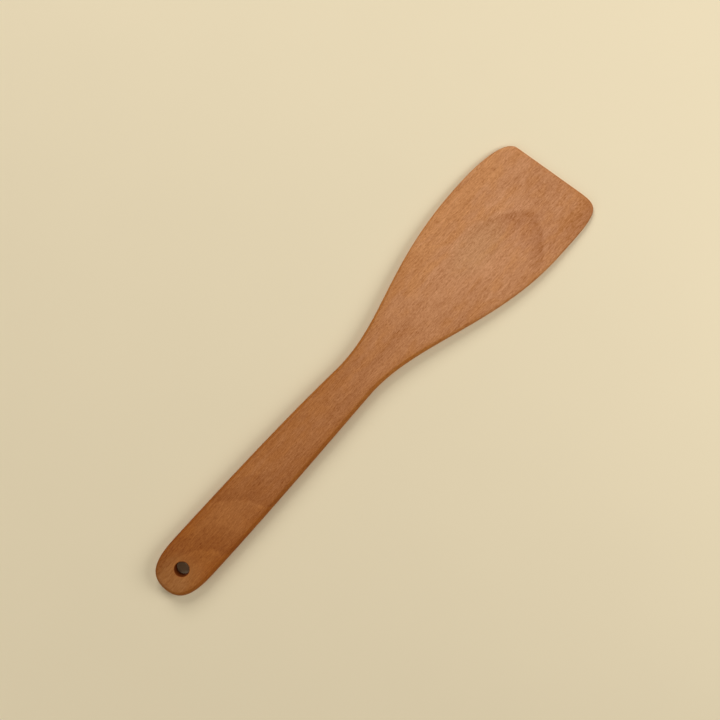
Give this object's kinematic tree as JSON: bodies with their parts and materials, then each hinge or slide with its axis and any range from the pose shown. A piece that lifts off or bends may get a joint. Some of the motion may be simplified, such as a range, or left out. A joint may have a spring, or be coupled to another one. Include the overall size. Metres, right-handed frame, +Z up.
{
  "type": "wooden spatula",
  "caption": "Flat one-piece wooden spatula: long tapered handle with a round end and a hanging hole, narrow neck, and a wide thin blade with a slanted tip and rounded corners.",
  "frame": {"origin": "on the plane that the flat back rests on, under the middle of the spatula's bounding box", "axes": "+X along the handle's axis towards the blade's tip, +Y towards the blade's narrower left side, +Z up out of the sloping front face"},
  "size_m": [0.3106, 0.0666, 0.008],
  "materials": {
    "beech": "sanded and lightly oiled, matte, darker on the handle"
  },
  "bodies": {
    "root": {"spatula": "beech"}
  },
  "joints": []
}
